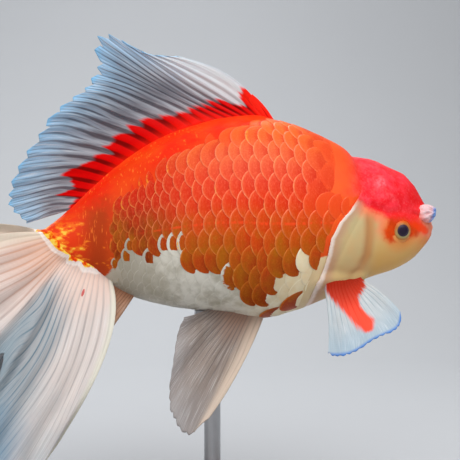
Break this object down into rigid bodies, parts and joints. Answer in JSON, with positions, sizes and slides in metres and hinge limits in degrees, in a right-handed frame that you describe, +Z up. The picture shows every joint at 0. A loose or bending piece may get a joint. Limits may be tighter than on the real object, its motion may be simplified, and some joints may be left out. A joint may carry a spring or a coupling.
{
  "type": "goldfish",
  "caption": "Life-size still model of a red-and-white fancy goldfish with a small head growth, swimming with its twin tail swung aside, held on a flat stand by a short rod.",
  "frame": {"origin": "centre of the underside of the stand's base, straight below the rod that holds the fish under its belly", "axes": "+X towards the fish's head, +Y to the fish's left, +Z up"},
  "size_m": [0.2218, 0.0875, 0.18],
  "materials": {
    "orange_skin": "wet scaled skin, red-orange above and pearly white below",
    "cap_skin": "soft granular crimson skin of the head growth",
    "cheek_skin": "smooth moist cream and beige skin",
    "fin_membrane": "thin translucent pleated membrane, white with a red foot",
    "flap_skin": "frilled bluish-white flap",
    "eye": "glossy, dark pupil in a thin pale iris",
    "stand_wood": "dark satin-lacquered wood",
    "stand_steel": "satin steel"
  },
  "bodies": {
    "root": {"trunk": "orange_skin", "tail_stalk": "orange_skin", "head": "cheek_skin", "head_growth": "cap_skin", "upper_jaw": "cheek_skin", "lower_jaw": "cheek_skin", "gill_cover_right": "cheek_skin", "gill_cover_left": "cheek_skin", "eye_right": "eye", "eye_left": "eye", "nostril_flap_right": "flap_skin", "nostril_flap_left": "flap_skin", "dorsal_fin": "fin_membrane", "tail_fin_upper_right": "fin_membrane", "tail_fin_lower_right": "fin_membrane", "pectoral_fin_right": "fin_membrane", "pelvic_fin_right": "fin_membrane", "anal_fin_right": "fin_membrane", "tail_fin_upper_left": "fin_membrane", "tail_fin_lower_left": "fin_membrane", "pectoral_fin_left": "fin_membrane", "pelvic_fin_left": "fin_membrane", "anal_fin_left": "fin_membrane", "stand_base": "stand_wood", "stand_rod": "stand_steel", "stand_collar": "stand_steel", "stand_saddle": "stand_steel"}
  },
  "joints": []
}
